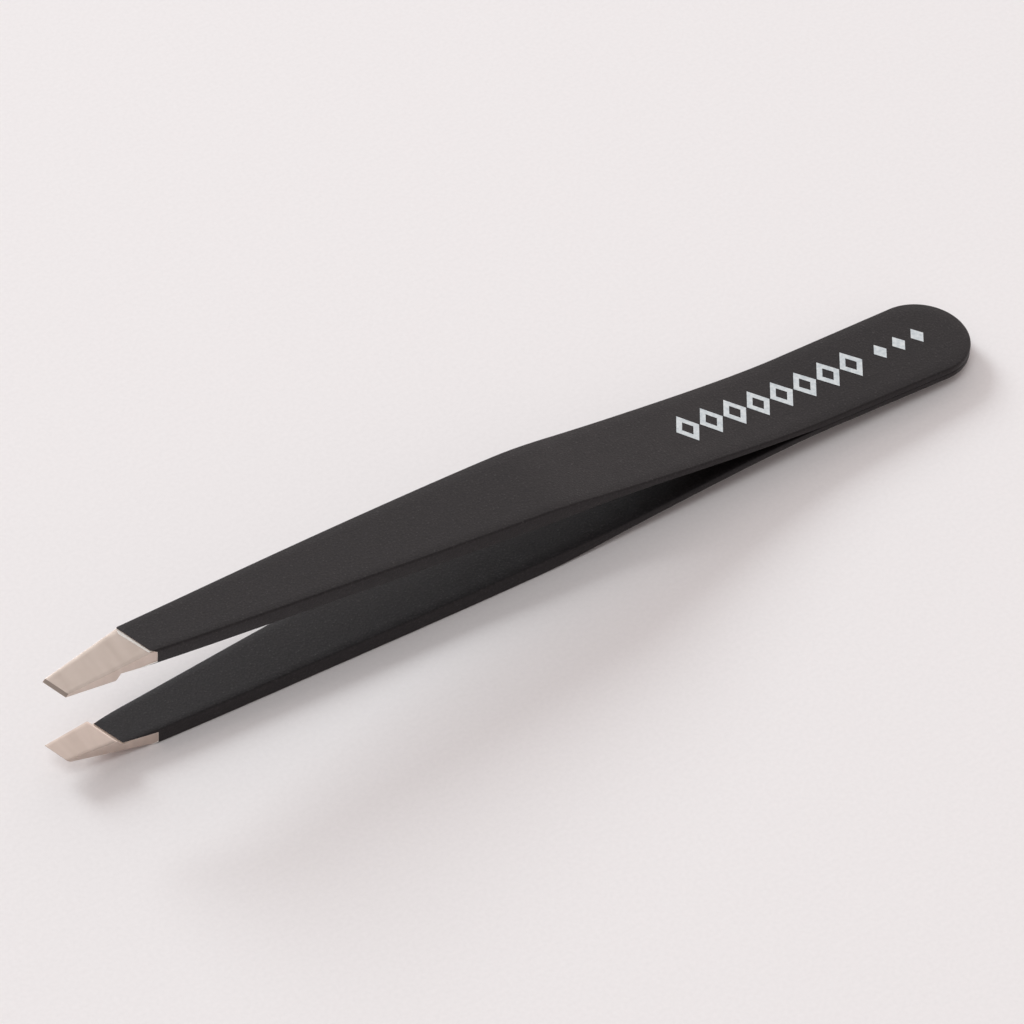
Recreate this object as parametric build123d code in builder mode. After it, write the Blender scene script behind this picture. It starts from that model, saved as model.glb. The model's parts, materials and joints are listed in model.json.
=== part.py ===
from build123d import *
import os
from math import cos, radians, sin, tan

# Slant tweezers: two mirrored steel strips, spot-welded face to face at the closed end and coated
# with a black film except at the ground tips. They lie on the flat front stretch of the lower arm.
#
# Working frame: x runs from the tips (0) to the closed end, y is across the arms, and z is the
# height over the mid-plane between the arms. The upper arm is drawn and the lower one mirrored.

# Driving dimensions, in millimetres and degrees
length = 96.0
film = 0.08                 # thickness of the coating
edge_round = 0.2            # rounding along the coated edges
steel_round = 0.12          # rounding along the steel edges under the coating

# Side view of one coated arm: outer face, inner face
rest_tilt = 2.92            # slope of the flat front stretch, which is what the tweezers lie on
front_height = 6.24         # outer face of the front stretch, carried on to x = 0
front_end = 47.5            # end of the flat front stretch
arm_thickness = 1.6         # thickness of the front stretch
inner_front_end = 44.0
outer_bend = [(54.0, 3.03), (62.0, 1.99), (70.0, 1.13)]
inner_bend = [(54.0, 1.98), (62.0, 1.26), (70.0, 0.46)]
closing_slope = 0.05        # slope of each inner face where the two meet
contact_start = 78.5        # from here to the closed end the two strips lie face to face
rear_thickness = 0.65

# Plan view of one coated arm
slant = 17.3                # angle of the slanted tip edge
tip_centre = 0.77           # where the tip edge crosses the centre line
near_tip_y = -1.34
far_tip_y = 1.34
near_side = [(9.65, -2.05), (22.0, -2.72), (38.0, -3.47)]
far_side = [(38.0, 4.17), (22.0, 3.15), (7.8, 2.08)]
waist_x = 54.0              # behind the waist the sides are straight
near_waist_y = -3.99
far_waist_y = 4.7
end_radius = 4.7
front_flare = 0.07          # slopes of the sides at the tip and at the waist
waist_flare = 0.02

# Jaw, measured square to the slanted tip edge
grip_z = 3.91               # gripping face at the tip edge
heel_u = 4.3                # heel of the gripping face
heel_z = 3.75
heel_round = 0.3
step_u = 4.7                # foot of the step behind the heel
blunt_z = 3.97              # top of the blunt tip face
facet_u = 0.25              # end of the small facet above it
facet_z = 4.2
bevel_u = 7.28              # the ground bevel ends and the coating begins
bevel_z = 5.69

# Spot welds between the two strips
weld_radius = 1.2
weld_thickness = 0.7
weld_stations = [83.0, 90.0]

# Where each arm bends: the arm turns about this point, in the middle of its thin stretch
flex_x = 70.0
flex_gap = 0.1

margin = 12.0               # how far the shapes that cut or overlap run past the arms

# The row frame: floor under the front stretch, origin below the centre of the whole object
floor_drop = front_height * cos(radians(rest_tilt))
tip_x = tip_centre - tan(radians(slant)) * (far_tip_y - film)
low_x = tip_x * cos(radians(rest_tilt)) - blunt_z * sin(radians(rest_tilt))
high_x = length * cos(radians(rest_tilt)) + (rear_thickness - edge_round) * sin(radians(rest_tilt))
mid_plane = Plane(Location((-(low_x + high_x) / 2, 0, floor_drop), (0, rest_tilt, 0)))
side_plane = Plane(mid_plane.location * Location((0, margin, 0), (90, 0, 0)))
plan_plane = mid_plane.offset(-margin)
tip_location = mid_plane.location * Location((tip_centre, 0, 0), (0, 0, slant))
slant_plane = Plane(tip_location * Location((0, margin, 0), (90, 0, 0)))
coat_edge = Plane(tip_location * Location((bevel_u, 0, 0), (0, 90, 0)))
front_of_flex = Plane(mid_plane.location * Location((flex_x - flex_gap / 2, 0, 0), (0, 90, 0)))
behind_flex = Plane(mid_plane.location * Location((flex_x + flex_gap / 2, 0, 0), (0, 90, 0)))


def outer_z(x):
    """Outer face of the coated front stretch over the mid-plane."""
    return front_height - tan(radians(rest_tilt)) * x


def edge_x(y):
    """Where the slanted tip edge stands at y."""
    return tip_centre - tan(radians(slant)) * y


def side_outline(inset, depth):
    """Side view of the upper strip, this far inside its coated faces and this far past the mid-plane."""
    flat_slope = (1, -tan(radians(rest_tilt)))
    front = -margin
    inner_front = inset - arm_thickness
    meeting_x = contact_start + (inset - film) / closing_slope
    with BuildSketch(side_plane) as outline:
        with BuildLine():
            Line((front, outer_z(front) - inset), (front_end, outer_z(front_end) - inset))
            Spline(
                (front_end, outer_z(front_end) - inset),
                *[(x, z - inset) for x, z in outer_bend],
                (contact_start, rear_thickness - inset),
                tangents=[flat_slope, (1, 0)],
            )
            Polyline(
                (contact_start, rear_thickness - inset),
                (length, rear_thickness - inset),
                (length, -depth),
                (meeting_x, -depth),
                *([(meeting_x, 0)] if depth else []),
            )
            Spline(
                (meeting_x, 0),
                *[(x, z + inset) for x, z in reversed(inner_bend)],
                (inner_front_end, outer_z(inner_front_end) + inner_front),
                tangents=[(-1, closing_slope), (-flat_slope[0], -flat_slope[1])],
            )
            Polyline(
                (inner_front_end, outer_z(inner_front_end) + inner_front),
                (front, outer_z(front) + inner_front),
                (front, outer_z(front) - inset),
            )
        make_face()
    return outline.sketch


def plan_outline(inset):
    """Plan view of both arms, this far inside the coated sides."""
    near_y = near_tip_y + inset
    far_y = far_tip_y - inset
    radius = end_radius - inset
    shoulder_x = length - end_radius
    with BuildSketch(plan_plane) as outline:
        with BuildLine():
            Line((edge_x(near_y), near_y), (near_side[0][0], near_side[0][1] + inset))
            Spline(
                *[(x, y + inset) for x, y in near_side],
                (waist_x, near_waist_y + inset),
                tangents=[(1, -front_flare), (1, -waist_flare)],
            )
            Line((waist_x, near_waist_y + inset), (shoulder_x, -radius))
            ThreePointArc((shoulder_x, -radius), (shoulder_x + radius, 0), (shoulder_x, radius))
            Line((shoulder_x, radius), (waist_x, far_waist_y - inset))
            Spline(
                (waist_x, far_waist_y - inset),
                *[(x, y - inset) for x, y in far_side],
                tangents=[(-1, 0), (-1, -front_flare)],
            )
            Polyline(
                (far_side[-1][0], far_side[-1][1] - inset),
                (edge_x(far_y), far_y),
                (edge_x(near_y), near_y),
            )
        make_face()
    return outline.sketch


def jaw_outline():
    """The jaw under the strip: gripping face, rounded heel and the step behind it."""
    buried_z = outer_z(0) - arm_thickness / 2
    step_z = outer_z(step_u) - arm_thickness
    front_z = grip_z + margin * (grip_z - heel_z) / heel_u
    with BuildSketch(slant_plane) as outline:
        with BuildLine():
            FilletPolyline((-margin, front_z), (heel_u, heel_z), (step_u, step_z), radius=heel_round)
            Polyline((step_u, step_z), (step_u, buried_z), (-margin, buried_z), (-margin, front_z))
        make_face()
    return outline.sketch


def bevel_outline():
    """What grinding takes off the outer side of the tip."""
    bevel_slope = (bevel_z - facet_z) / (bevel_u - facet_u)
    with BuildSketch(slant_plane) as outline:
        with BuildLine():
            Polyline(
                (-margin, blunt_z),
                (0, blunt_z),
                (facet_u, facet_z),
                (bevel_u + margin, bevel_z + bevel_slope * margin),
                (bevel_u + margin, bevel_z + 2 * margin),
                (-margin, bevel_z + 2 * margin),
                close=True,
            )
        make_face()
    return outline.sketch


def strip(inset, depth, rounding):
    """One whole upper strip with its jaw, from the tip to the closed end, not yet ground."""
    with BuildPart() as blade:
        extrude(side_outline(inset, depth), amount=2 * margin)
        extrude(plan_outline(inset), amount=2 * margin, mode=Mode.INTERSECT)
        fillet(blade.edges().filter_by(lambda edge: edge.length > end_radius), rounding)
    with BuildPart() as blade_with_jaw:
        extrude(jaw_outline(), amount=2 * margin)
        extrude(plan_outline(inset), amount=2 * margin, mode=Mode.INTERSECT)
        add(blade.part)
    return blade_with_jaw.part


steel_strip = strip(film, 0, steel_round)
coated_strip = strip(0, rear_thickness, edge_round)

# Upper arm: the steel in front of the bend, with its bare ground tip
with BuildPart() as upper_arm:
    add(steel_strip)
    split(bisect_by=front_of_flex, keep=Keep.BOTTOM)
    extrude(bevel_outline(), amount=2 * margin, mode=Mode.SUBTRACT)

# Coating of the upper arm, from the end of the bevel to the bend
with BuildPart() as upper_arm_coating:
    add(coated_strip)
    split(bisect_by=front_of_flex, keep=Keep.BOTTOM)
    split(bisect_by=coat_edge, keep=Keep.TOP)
    add(upper_arm.part, mode=Mode.SUBTRACT)

# Lower arm and its coating
with BuildPart() as lower_arm:
    mirror(upper_arm.part, about=mid_plane)
with BuildPart() as lower_arm_coating:
    mirror(upper_arm_coating.part, about=mid_plane)

# Spot welds: two nuggets, each half in one strip and half in the other
with BuildPart() as spot_welds:
    with BuildSketch(mid_plane.offset(-weld_thickness / 2)):
        with Locations(*[(x, 0) for x in weld_stations]):
            Circle(weld_radius)
    extrude(amount=weld_thickness)

# Closed end: the two strips behind the bend, with the welds' pockets
with BuildPart() as root_blank:
    add(steel_strip)
    split(bisect_by=behind_flex, keep=Keep.TOP)
with BuildPart() as upper_arm_root:
    add(root_blank.part)
    add(spot_welds.part, mode=Mode.SUBTRACT)
with BuildPart() as lower_arm_root:
    mirror(upper_arm_root.part, about=mid_plane)

# Coating round the closed end, which also closes the seam between the two strips
with BuildPart() as closed_end_coating:
    add(coated_strip)
    split(bisect_by=behind_flex, keep=Keep.TOP)
    add(root_blank.part, mode=Mode.SUBTRACT)
    split(bisect_by=mid_plane, keep=Keep.TOP)
    mirror(about=mid_plane)

pieces = {
    "upper_arm": upper_arm,
    "upper_arm_coating": upper_arm_coating,
    "lower_arm": lower_arm,
    "lower_arm_coating": lower_arm_coating,
    "upper_arm_root": upper_arm_root,
    "lower_arm_root": lower_arm_root,
    "spot_welds": spot_welds,
    "closed_end_coating": closed_end_coating,
}
os.makedirs("parts", exist_ok=True)
for name, piece in pieces.items():
    piece.part.label = name
    export_step(piece.part, f"parts/{name}.step")
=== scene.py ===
import json
from math import cos, hypot, radians, sin, sqrt, tan

import bmesh
import bpy
import numpy as np
from mathutils import Matrix, Quaternion, Vector


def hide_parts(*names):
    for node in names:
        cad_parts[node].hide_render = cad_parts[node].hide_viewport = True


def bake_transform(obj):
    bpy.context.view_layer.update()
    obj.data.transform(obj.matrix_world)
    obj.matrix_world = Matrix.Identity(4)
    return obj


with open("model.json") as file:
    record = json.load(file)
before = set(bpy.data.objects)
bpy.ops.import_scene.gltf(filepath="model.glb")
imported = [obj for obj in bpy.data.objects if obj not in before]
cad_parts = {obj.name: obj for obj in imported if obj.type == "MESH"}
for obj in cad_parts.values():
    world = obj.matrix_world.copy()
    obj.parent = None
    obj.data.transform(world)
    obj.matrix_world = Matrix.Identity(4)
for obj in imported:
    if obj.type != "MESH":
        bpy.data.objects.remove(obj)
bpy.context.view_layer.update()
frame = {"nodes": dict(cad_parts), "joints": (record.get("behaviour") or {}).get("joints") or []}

# Slant tweezers lying on the flat front stretch of the lower arm.
#
# The meshes are drawn in the arms' own frame, in millimetres: x runs from the tips (0) to the
# closed end, y is across the arms and z is the height over the mid-plane between them. The upper
# arm is drawn and the lower one mirrored. The two flex joints say where that frame stands.
MM = 0.001

# Side view of one coated arm
flex_x = 70.0
rest_tilt = 2.92
front_height = 6.24
front_end = 47.5
arm_thickness = 1.6
inner_front_end = 44.0
outer_bend = [(54.0, 3.03), (62.0, 1.99), (70.0, 1.13)]
inner_bend = [(54.0, 1.98), (62.0, 1.26), (70.0, 0.46)]
closing_slope = 0.05
contact_start = 78.5
meeting_x = 76.9
rear_thickness = 0.65
film = 0.08
edge_round = 0.2
seam_round = 0.1

# Plan view of one coated arm
length = 96.0
slant = 17.3
tip_centre = 0.77
tip_y = 1.34
near_side = [(9.65, 2.05), (22.0, 2.72), (38.0, 3.47)]
far_side = [(7.8, 2.08), (22.0, 3.15), (38.0, 4.17)]
waist_x = 54.0
near_waist_y = 3.99
far_waist_y = 4.7
end_radius = 4.7

# Jaw, measured square to the slanted tip edge
grip_z = 3.91
heel_u = 4.3
heel_z = 3.75
heel_round = 0.3
step_u = 4.7
blunt_z = 3.97
facet_u = 0.25
facet_z = 4.2
bevel_u = 7.28
bevel_z = 5.62

# Printed band on the upper outer face
print_y = 0.42
print_lift = 0.02
chain_stations = [65.6 + 2.6 * k for k in range(8)]
chain_size = (1.24, 1.8)
chain_hole = (0.62, 0.9)
dot_stations = [87.1, 89.2, 91.3]
dot_size = (0.7, 1.0)

# Where the coating begins on the outer face, the sides and the inner face, on the centre line
coat_start = [8.42, 8.9, 5.83]

# The rows of points keep the slant of the tip edge up to slant_end, then turn square over slant_fade
slant_end = 10.2
slant_fade = 12.0


def joint_point(name):
    joint = next(joint for joint in frame["joints"] if joint["name"] == name)
    return Vector(joint["pos_m"])


upper_pivot = joint_point("upper_arm_flex")
lower_pivot = joint_point("lower_arm_flex")
flex_middle = (upper_pivot + lower_pivot) / 2
up_axis = (upper_pivot - lower_pivot).normalized()
side_axis = Vector((0, 1, 0))
long_axis = side_axis.cross(up_axis)


def place(point):
    """A point of the arms' frame, in millimetres, as a point of the row frame, in metres."""
    x, y, z = (float(part) for part in point)
    return flex_middle + MM * ((x - flex_x) * long_axis + y * side_axis + z * up_axis)


# Curves -----------------------------------------------------------------------------------------
def clamped_spline(points, start_slope, end_slope):
    """A cubic curve y(x) through the points, with these slopes at its ends."""
    x, y = np.array(points, float).T
    gaps, rises = np.diff(x), np.diff(y)
    system = np.eye(len(x))
    slopes = np.empty(len(x))
    slopes[0], slopes[-1] = start_slope, end_slope
    for i in range(1, len(x) - 1):
        system[i, i - 1 : i + 2] = gaps[i], 2 * (gaps[i] + gaps[i - 1]), gaps[i - 1]
        slopes[i] = 3 * (gaps[i] * rises[i - 1] / gaps[i - 1] + gaps[i - 1] * rises[i] / gaps[i])
    slopes = np.linalg.solve(system, slopes)

    def curve(at):
        k = min(max(int(np.searchsorted(x, at)) - 1, 0), len(x) - 2)
        t = (at - x[k]) / gaps[k]
        a = slopes[k] * gaps[k] - rises[k]
        b = rises[k] - slopes[k + 1] * gaps[k]
        return (1 - t) * y[k] + t * y[k + 1] + t * (1 - t) * (a * (1 - t) + b * t)

    return curve


front_slope = tan(radians(rest_tilt))
outer_curve = clamped_spline(
    [(front_end, front_height - front_slope * front_end), *outer_bend, (contact_start, rear_thickness)],
    -front_slope,
    0,
)
inner_start = front_height - front_slope * inner_front_end - arm_thickness
inner_curve = clamped_spline(
    [(inner_front_end, inner_start), *inner_bend, (meeting_x, 0)], -front_slope, -closing_slope
)
near_curve = clamped_spline([*near_side, (waist_x, near_waist_y)], 0.07, 0.02)
far_curve = clamped_spline([*far_side, (waist_x, far_waist_y)], 0.07, 0)


def outer_z(x):
    if x < front_end:
        return front_height - front_slope * x
    return outer_curve(x) if x < contact_start else rear_thickness


def inner_z(x):
    if x < inner_front_end:
        return front_height - front_slope * x - arm_thickness
    return inner_curve(x) if x < meeting_x else 0.0


def half_width(x, far):
    """How far the outline stands from the centre line at x."""
    curve = far_curve if far else near_curve
    side_x, side_y = (far_side if far else near_side)[0]
    waist_y = far_waist_y if far else near_waist_y
    if x < side_x:
        start_x = tip_centre + (-1 if far else 1) * tan(radians(slant)) * tip_y
        return tip_y + (side_y - tip_y) * (x - start_x) / (side_x - start_x)
    if x < waist_x:
        return curve(x)
    return waist_y + (end_radius - waist_y) * (x - waist_x) / (length - end_radius - waist_x)


def across_tip(x, y):
    """Distance from the slanted tip edge, measured square to it."""
    return (x - tip_centre) * cos(radians(slant)) + y * sin(radians(slant))


# Rows -------------------------------------------------------------------------------------------
class Row:
    """A line round an arm: slanted with the tip edge in front, straight further back, a ray in the round end.

    A row may stand at another x on the outer face, on the sides and on the inner face.
    """

    def __init__(self, x, skew=0.0, ray=0.0):
        self.x = np.broadcast_to(x, 3)
        self.skew, self.ray = tan(radians(skew)), radians(ray)

    def point(self, far, fraction, inset, face):
        """A point at a share of the half width. The face runs from 0, outer, over 1, side, to 2, inner."""
        sign = 1 if far else -1
        row_x = float(np.interp(face, (0, 1, 2), self.x))
        if row_x >= length - end_radius:
            reach = (end_radius - inset) * fraction
            return length - end_radius + reach * sin(self.ray), sign * reach * cos(self.ray)
        y = 0.0
        for _ in range(12):
            y = sign * (half_width(row_x - self.skew * y, far) - inset)
        return row_x - self.skew * y * fraction, y * fraction


def rows_behind(x):
    """Rows from a slanted one at x back to the round end."""
    fade_end = x + slant_fade
    rows = [Row(at, slant * (fade_end - at) / (fade_end - x)) for at in np.linspace(x, fade_end, 10)]
    rows += [Row(at) for at in np.arange(fade_end + 1.0, length - end_radius - 0.5, 1.0)]
    return rows + [Row(length - end_radius, 0, ray) for ray in np.linspace(0, 90, 25)]


def loft(name, loops, rim_loops=0):
    """A closed skin through closed loops of points. Its first faces take the second material."""
    count = len(loops[0])
    points = [place(point) for loop in loops for point in loop]
    faces = [tuple(range(count))]
    for k in range(len(loops) - 1):
        for i in range(count):
            j = (i + 1) % count
            faces.append((k * count + i, (k + 1) * count + i, (k + 1) * count + j, k * count + j))
    mesh = bpy.data.meshes.new(name)
    mesh.from_pydata(points, [], faces)
    for face in mesh.polygons[: 1 + rim_loops * count if rim_loops else 0]:
        face.material_index = 1
    return mesh


def finish_mesh(mesh, sharp_angle, merge=0.002 * MM):
    edit = bmesh.new()
    edit.from_mesh(mesh)
    bmesh.ops.remove_doubles(edit, verts=edit.verts, dist=merge)
    bmesh.ops.dissolve_degenerate(edit, edges=edit.edges, dist=merge / 2)
    bmesh.ops.recalc_face_normals(edit, faces=edit.faces)
    for face in edit.faces:
        face.smooth = True
    for edge in edit.edges:
        edge.smooth = len(edge.link_faces) == 2 and edge.calc_face_angle(0) < radians(sharp_angle)
    edit.to_mesh(mesh)
    edit.free()


def section(row, top, bottom, inset, top_round, bottom_round, flat_steps=4, arc_steps=4, side_steps=2):
    """The closed loop of points round the arm on a row."""
    halves = []
    for far in (True, False):
        points = []

        def add(fraction, depth, face, surface, drop=0.0):
            x, y = row.point(far, fraction, inset + depth, face)
            points.append((x, y, surface(x, y) + drop))

        for fraction in np.linspace(0, 1, flat_steps + 1):
            add(fraction, top_round, 0, top)
        for share in np.linspace(0, 1, arc_steps + 1)[1:]:
            angle = share * np.pi / 2
            add(1, top_round * (1 - sin(angle)), share, top, -top_round * (1 - cos(angle)))
        x, y = row.point(far, 1, inset, 1)
        high, low = top(x, y) - top_round, bottom(x, y) + bottom_round
        for share in np.linspace(0, 1, side_steps + 1)[1:-1]:
            points.append((x, y, high + (low - high) * share))
        for share in np.linspace(0, 1, arc_steps + 1):
            angle = share * np.pi / 2
            add(1, bottom_round * (1 - cos(angle)), 1 + share, bottom, bottom_round * (1 - sin(angle)))
        for fraction in np.linspace(1, 0, flat_steps + 1)[1:]:
            add(fraction, bottom_round, 2, bottom)
        halves.append(points)
    return halves[0] + halves[1][-2:0:-1]


def fade(x, start, end):
    t = min(max((x - start) / (end - start), 0), 1)
    return t * t * (3 - 2 * t)


# Meshes -----------------------------------------------------------------------------------------
def steel_top(x, y):
    u = across_tip(x, y)
    facet = blunt_z + (facet_z - blunt_z) * u / facet_u
    bevel = facet_z + (bevel_z - facet_z) * (u - facet_u) / (bevel_u - facet_u)
    return min(outer_z(x) - film, facet if u < facet_u else bevel)


def rounded_heel():
    """Centre of the heel's arc and where it starts and ends, in u."""
    fall = np.array([heel_u, heel_z - grip_z]) / hypot(heel_u, heel_z - grip_z)
    rise = np.array([step_u - heel_u, foot_z - heel_z]) / hypot(step_u - heel_u, foot_z - heel_z)
    reach = heel_round * sqrt((1 - fall @ rise) / (1 + fall @ rise))
    heel = np.array([heel_u, heel_z])
    start, end = heel - reach * fall, heel + reach * rise
    return start + heel_round * np.array([-fall[1], fall[0]]), start[0], end[0]


foot_z = front_height - front_slope * (tip_centre + step_u) - arm_thickness + film
heel_centre, arc_start, arc_end = rounded_heel()


def steel_bottom(x, y):
    u = across_tip(x, y)
    if u <= arc_start:
        return grip_z + (heel_z - grip_z) * u / heel_u
    if u <= arc_end:
        return heel_centre[1] - sqrt(heel_round**2 - (u - heel_centre[0]) ** 2)
    foot = inner_z(x) + film
    return heel_z + (foot - heel_z) * (u - heel_u) / (step_u - heel_u) if u < step_u else foot


def steel_mesh(name):
    stations = [0, 0.1, facet_u, facet_u + 0.05, 0.8, 1.5, 2.8, *np.linspace(arc_start, arc_end, 7)]
    stations += [step_u - 0.05, step_u, step_u + 0.05, 6, 7, bevel_u, bevel_u + 0.01, 8]
    rows = [Row(tip_centre + u / cos(radians(slant)), slant) for u in stations]
    rows += rows_behind(slant_end)
    mesh = loft(name, [section(row, steel_top, steel_bottom, film, 0.04, 0.04) for row in rows])
    finish_mesh(mesh, 20)
    return mesh


def coat_mesh(name):
    """The coating, whose cut edge round the front shows bare metal, painted lighter as a highlight."""
    start = np.array(coat_start)
    rows = [Row(start + share * (slant_end - start), slant) for share in np.linspace(0, 1, 6)]
    rows += rows_behind(slant_end)[1:]
    loops = [
        section(
            row,
            lambda x, y: outer_z(x),
            lambda x, y: inner_z(x),
            0.0,
            edge_round,
            edge_round + (seam_round - edge_round) * fade(row.x[1], 73, 77),
        )
        for row in rows
    ]
    # The front rim takes the cut-edge material, whose lighter steel colour paints a highlight along the edge.
    rim = section(
        rows[0],
        lambda x, y: outer_z(x) - film - 0.02,
        lambda x, y: inner_z(x) + film + 0.02,
        film + 0.02,
        edge_round - film,
        edge_round - film,
    )
    mesh = loft(name, [rim, *loops], 1)
    finish_mesh(mesh, 40)
    return mesh


# Materials --------------------------------------------------------------------------------------
class Material:
    """A node material with a Principled shader, and short ways to add and join nodes."""

    def __init__(self, name, colour, roughness, metallic=0.0):
        self.material = bpy.data.materials.new(name)
        self.material.use_nodes = True
        self.tree = self.material.node_tree
        self.shader = next(node for node in self.tree.nodes if node.type == "BSDF_PRINCIPLED")
        self.shader.inputs["Base Color"].default_value = (*colour, 1)
        self.shader.inputs["Roughness"].default_value = roughness
        self.shader.inputs["Metallic"].default_value = metallic

    def add(self, kind, **settings):
        node = self.tree.nodes.new(kind)
        for name, value in settings.items():
            if name in node.inputs:
                node.inputs[name].default_value = value
            else:
                setattr(node, name, value)
        return node

    def link(self, source, target):
        self.tree.links.new(source, target)


def powder_coat():
    """Matte black coat with a fine grain and faint paler flecks."""
    m = Material("powder_coat", (0.01, 0.008, 0.0082), 0.5)
    m.shader.inputs["Specular IOR Level"].default_value = 0.34
    m.shader.inputs["Specular Tint"].default_value = (1, 0.97, 1, 1)
    where = m.add("ShaderNodeTexCoord")
    grain = m.add("ShaderNodeTexNoise", Scale=5200.0, Detail=3.0, Roughness=0.6)
    m.link(where.outputs["Object"], grain.inputs["Vector"])
    cloud = m.add("ShaderNodeTexNoise", Scale=700.0, Detail=2.0)
    m.link(where.outputs["Object"], cloud.inputs["Vector"])
    shade = m.add("ShaderNodeValToRGB")
    shade.color_ramp.elements[0].position = 0.3
    shade.color_ramp.elements[0].color = (0.003, 0.002, 0.0021, 1)
    shade.color_ramp.elements[1].position = 0.62
    shade.color_ramp.elements[1].color = (0.012, 0.009, 0.0095, 1)
    flecks = shade.color_ramp.elements.new(0.74)
    flecks.color = (0.034, 0.03, 0.03, 1)
    m.link(grain.outputs["Fac"], shade.inputs["Fac"])
    m.link(shade.outputs["Color"], m.shader.inputs["Base Color"])
    rough = m.add("ShaderNodeMapRange")
    rough.inputs["To Min"].default_value = 0.42
    rough.inputs["To Max"].default_value = 0.58
    m.link(cloud.outputs["Fac"], rough.inputs["Value"])
    m.link(rough.outputs["Result"], m.shader.inputs["Roughness"])
    bump = m.add("ShaderNodeBump", Strength=0.6, Distance=0.00004)
    m.link(grain.outputs["Fac"], bump.inputs["Height"])
    m.link(bump.outputs["Normal"], m.shader.inputs["Normal"])
    return m.material


def ground_steel():
    """Satin steel with fine grinding lines along the tips and faint bands across them."""
    m = Material("ground_steel", (0.62, 0.52, 0.46), 0.36, 1.0)
    where = m.add("ShaderNodeTexCoord")
    turn = m.add("ShaderNodeMapping")
    turn.inputs["Scale"].default_value = (900, 9000, 9000)
    m.link(where.outputs["Object"], turn.inputs["Vector"])
    lines = m.add("ShaderNodeTexNoise", Scale=1.0, Detail=4.0, Roughness=0.6)
    m.link(turn.outputs["Vector"], lines.inputs["Vector"])
    stretch = m.add("ShaderNodeMapping")
    stretch.inputs["Scale"].default_value = (1300, 250, 250)
    m.link(where.outputs["Object"], stretch.inputs["Vector"])
    bands = m.add("ShaderNodeTexNoise", Scale=1.0, Detail=1.0)
    m.link(stretch.outputs["Vector"], bands.inputs["Vector"])
    shade = m.add("ShaderNodeValToRGB")
    shade.color_ramp.elements[0].position = 0.3
    shade.color_ramp.elements[0].color = (0.615, 0.515, 0.455, 1)
    shade.color_ramp.elements[1].position = 0.7
    shade.color_ramp.elements[1].color = (0.675, 0.57, 0.508, 1)
    m.link(bands.outputs["Fac"], shade.inputs["Fac"])
    m.link(shade.outputs["Color"], m.shader.inputs["Base Color"])
    rough = m.add("ShaderNodeMapRange")
    rough.inputs["To Min"].default_value = 0.3
    rough.inputs["To Max"].default_value = 0.42
    m.link(lines.outputs["Fac"], rough.inputs["Value"])
    m.link(rough.outputs["Result"], m.shader.inputs["Roughness"])
    bump = m.add("ShaderNodeBump", Strength=0.25, Distance=0.00001)
    m.link(lines.outputs["Fac"], bump.inputs["Height"])
    m.link(bump.outputs["Normal"], m.shader.inputs["Normal"])
    return m.material


def cut_edge_painted_highlight():
    """The coating's ground cut rim, in a steel colour lighter than the arms: a painted highlight along the
    edge.
    """
    m = Material("cut_edge_painted_highlight", (0.84, 0.79, 0.75), 0.45, 1.0)
    where = m.add("ShaderNodeTexCoord")
    grain = m.add("ShaderNodeTexNoise", Scale=4000.0, Detail=2.0)
    m.link(where.outputs["Object"], grain.inputs["Vector"])
    bump = m.add("ShaderNodeBump", Strength=0.2, Distance=0.00002)
    m.link(grain.outputs["Fac"], bump.inputs["Height"])
    m.link(bump.outputs["Normal"], m.shader.inputs["Normal"])
    return m.material


def white_print():
    """Pale ink, slightly uneven."""
    m = Material("white_print", (0.6, 0.63, 0.65), 0.55)
    where = m.add("ShaderNodeTexCoord")
    patches = m.add("ShaderNodeTexNoise", Scale=2500.0, Detail=2.0)
    m.link(where.outputs["Object"], patches.inputs["Vector"])
    shade = m.add("ShaderNodeValToRGB")
    shade.color_ramp.elements[0].position = 0.3
    shade.color_ramp.elements[0].color = (0.5, 0.54, 0.57, 1)
    shade.color_ramp.elements[1].position = 0.65
    shade.color_ramp.elements[1].color = (0.68, 0.7, 0.71, 1)
    m.link(patches.outputs["Fac"], shade.inputs["Fac"])
    m.link(shade.outputs["Color"], m.shader.inputs["Base Color"])
    return m.material


def pale_paper():
    """The plain surface underneath, with a very fine grain."""
    m = Material("pale_paper", (0.89, 0.84, 0.84), 0.9)
    m.shader.inputs["Specular IOR Level"].default_value = 0.2
    where = m.add("ShaderNodeTexCoord")
    grain = m.add("ShaderNodeTexNoise", Scale=2600.0, Detail=3.0)
    m.link(where.outputs["Object"], grain.inputs["Vector"])
    shade = m.add("ShaderNodeValToRGB")
    shade.color_ramp.elements[0].position = 0.3
    shade.color_ramp.elements[0].color = (0.875, 0.826, 0.826, 1)
    shade.color_ramp.elements[1].position = 0.7
    shade.color_ramp.elements[1].color = (0.905, 0.855, 0.855, 1)
    m.link(grain.outputs["Fac"], shade.inputs["Fac"])
    m.link(shade.outputs["Color"], m.shader.inputs["Base Color"])
    return m.material


# Pieces -----------------------------------------------------------------------------------------
def add_piece(name, mesh, *materials):
    piece = bpy.data.objects.new(name, mesh)
    bpy.context.scene.collection.objects.link(piece)
    for material in materials:
        mesh.materials.append(material)
    return piece


def mirrored(mesh, name):
    """The same mesh on the other side of the mid-plane."""
    copy = mesh.copy()
    copy.name = name
    flip = Matrix.Identity(3) - 2 * Matrix([[a * b for b in up_axis] for a in up_axis])
    copy.transform(Matrix.Translation(flex_middle) @ flip.to_4x4() @ Matrix.Translation(-flex_middle))
    copy.flip_normals()
    return copy


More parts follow.
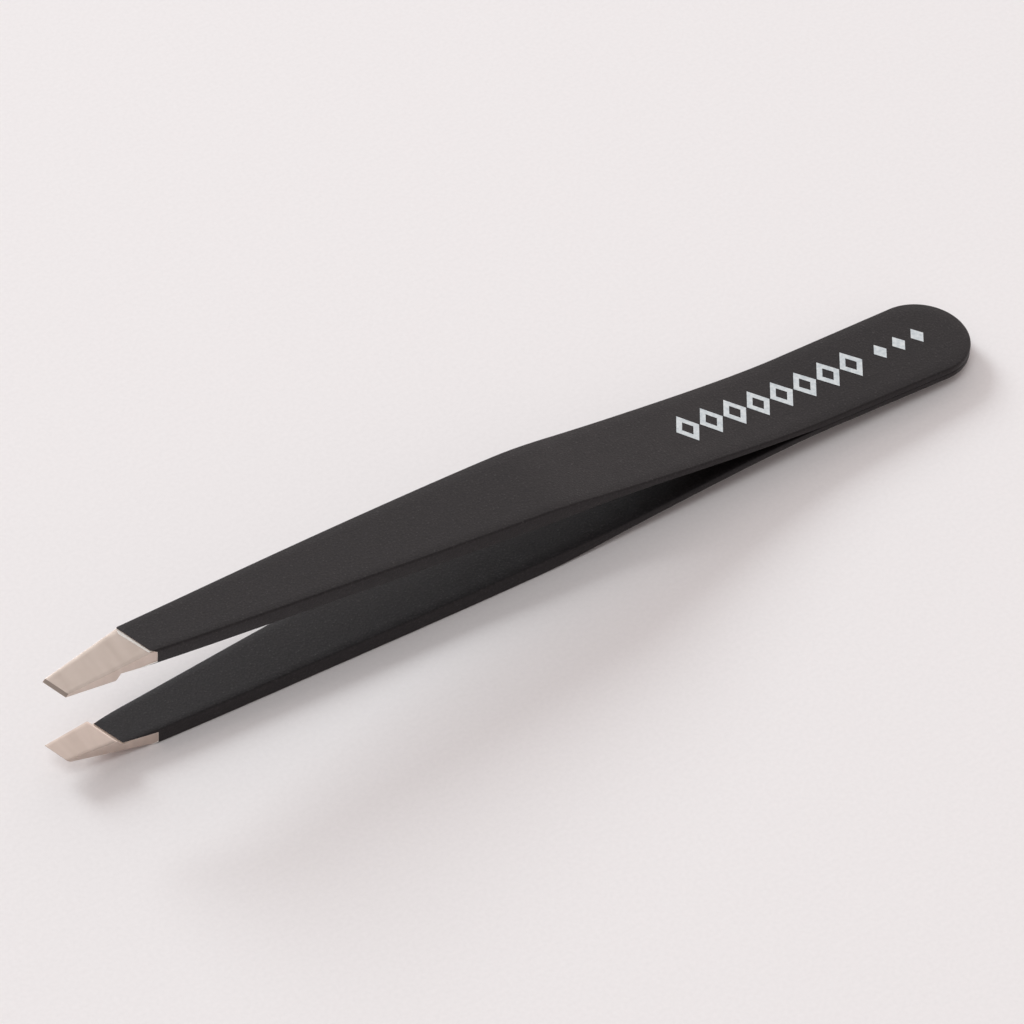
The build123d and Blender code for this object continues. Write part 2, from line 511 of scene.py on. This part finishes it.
def motif_mesh(name):
    """A plain printed band on the outer face: a chain of hollow lozenges, then a row of small solid ones."""
    edit = bmesh.new()

    def ring(x, half_long, half_wide, z_lift, steps=3):
        corners = [(-half_long, 0), (0, -half_wide), (half_long, 0), (0, half_wide)]
        loop = []
        for (x0, y0), (x1, y1) in zip(corners, corners[1:] + corners[:1]):
            for share in np.arange(steps) / steps:
                px, py = x + x0 + (x1 - x0) * share, print_y + y0 + (y1 - y0) * share
                loop.append(edit.verts.new(place((px, py, outer_z(px) + z_lift))))
        return loop

    def bridge(a, b):
        for i in range(len(a)):
            j = (i + 1) % len(a)
            edit.faces.new((a[i], a[j], b[j], b[i]))

    for x in chain_stations:
        outline = [ring(x, *chain_size, -0.02), ring(x, *chain_size, print_lift)]
        hole = [ring(x, *chain_hole, print_lift), ring(x, *chain_hole, -0.02)]
        rings = outline + hole
        for a, b in zip(rings, rings[1:] + rings[:1]):
            bridge(a, b)
    for x in dot_stations:
        low, high = ring(x, *dot_size, -0.02), ring(x, *dot_size, print_lift)
        bridge(low, high)
        edit.faces.new(high)
        edit.faces.new(low[::-1])
    mesh = bpy.data.meshes.new(name)
    edit.to_mesh(mesh)
    edit.free()
    finish_mesh(mesh, 30, 0.0005 * MM)
    return mesh


steel_material = ground_steel()
coat_material = powder_coat()
# The cut-edge material is a painted highlight: steel painted lighter along the coating's front rim.
painted_highlight_material = cut_edge_painted_highlight()

upper_steel = steel_mesh("upper_arm_steel")
upper_coat = coat_mesh("upper_arm_coat")
for arm, steel, coat in (
    ("upper_arm", upper_steel, upper_coat),
    ("lower_arm", mirrored(upper_steel, "lower_arm_steel"), mirrored(upper_coat, "lower_arm_coat")),
):
    metal = add_piece(arm + "_steel", steel, steel_material)
    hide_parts(arm, arm + "_root")
    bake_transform(metal)
    film_piece = add_piece(arm + "_coat", coat, coat_material, painted_highlight_material)
    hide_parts(arm + "_coating")
    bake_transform(film_piece)
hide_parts("closed_end_coating")
motif = add_piece("print_motif", motif_mesh("print_motif"), white_print())
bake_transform(motif)
welds = frame["nodes"]["spot_welds"]
welds.data.materials.clear()
welds.data.materials.append(steel_material)


# Floor, light and camera --------------------------------------------------------------------------
floor_size = 3.0
floor_mesh = bpy.data.meshes.new("floor")
half = floor_size / 2
floor_corners = [(-half, -half, 0), (half, -half, 0), (half, half, 0), (-half, half, 0)]
floor_mesh.from_pydata(floor_corners, [], [(0, 1, 2, 3)])
floor = add_piece("floor", floor_mesh, pale_paper())

camera_azimuth = -33.566
camera_elevation = 46.694
camera_roll = 0.184
camera_distance = 420.33
camera_target = Vector((-1.2285, 0.3792, 4.6038)) * MM
camera_lens = 168.75


def direction(azimuth, elevation):
    a, e = radians(azimuth), radians(elevation)
    return Vector((sin(a) * cos(e), -cos(a) * cos(e), sin(e)))


camera_data = bpy.data.cameras.new("camera")
camera_data.lens = camera_lens
camera_data.sensor_width = 36
camera_data.clip_start = 0.01
camera = bpy.data.objects.new("camera", camera_data)
bpy.context.scene.collection.objects.link(camera)
back = direction(camera_azimuth, camera_elevation)
camera.location = camera_target + back * camera_distance * MM
camera.rotation_mode = "QUATERNION"
camera.rotation_quaternion = (-back).to_track_quat("-Z", "Y") @ Quaternion((0, 0, 1), radians(camera_roll))
bpy.context.scene.camera = camera


def area_light(name, azimuth, elevation, distance, size, power, colour=(1, 1, 1)):
    data = bpy.data.lights.new(name, "AREA")
    data.shape = "DISK"
    data.size = size
    data.energy = power
    data.color = colour
    light = bpy.data.objects.new(name, data)
    bpy.context.scene.collection.objects.link(light)
    light.location = direction(azimuth, elevation) * distance
    light.rotation_mode = "QUATERNION"
    light.rotation_quaternion = direction(azimuth, elevation).to_track_quat("Z", "Y")
    return light


area_light("window", 186, 25, 2.4, 0.9, 35.5, (0.89, 1.0, 1.03))
area_light("ceiling", 300, 75, 2.0, 1.2, 8.6, (0.92, 1.0, 1.02))

# The room is bright towards the window and dim behind the camera.
world = bpy.data.worlds.new("studio")
bpy.context.scene.world = world
world.use_nodes = True
nodes, links = world.node_tree.nodes, world.node_tree.links
background = nodes["Background"]
background.inputs["Color"].default_value = (1.0, 0.925, 0.905, 1)
looking = nodes.new("ShaderNodeTexCoord")
parts = nodes.new("ShaderNodeSeparateXYZ")
links.new(looking.outputs["Generated"], parts.inputs[0])


def glow(source, *stops):
    """Brightness along one direction of the room, from stops between -1 and 1."""
    share = nodes.new("ShaderNodeMapRange")
    share.inputs["From Min"].default_value = -1
    links.new(parts.outputs[source], share.inputs["Value"])
    ramp = nodes.new("ShaderNodeValToRGB")
    ramp.color_ramp.interpolation = "EASE"
    elements = ramp.color_ramp.elements
    while len(elements) < len(stops):
        elements.new(0.5)
    for element, (at, level) in zip(elements, stops):
        element.position = (at + 1) / 2
        element.color = (level, level, level, 1)
    links.new(share.outputs["Result"], ramp.inputs["Fac"])
    return ramp.outputs["Color"]


both = nodes.new("ShaderNodeMath")
both.operation = "MULTIPLY"
sides = nodes.new("ShaderNodeMath")
sides.operation = "MULTIPLY"
links.new(glow("Y", (-0.75, 0.48), (0.4, 1.0)), sides.inputs[0])
links.new(glow("X", (-0.8, 0.25), (-0.3, 1.0)), sides.inputs[1])
links.new(sides.outputs["Value"], both.inputs[0])
links.new(glow("Z", (0.35, 1.5), (0.6, 0.85), (0.73, 0.85), (0.86, 0.42)), both.inputs[1])
links.new(both.outputs["Value"], background.inputs["Strength"])
bpy.context.scene.view_settings.view_transform = "Standard"
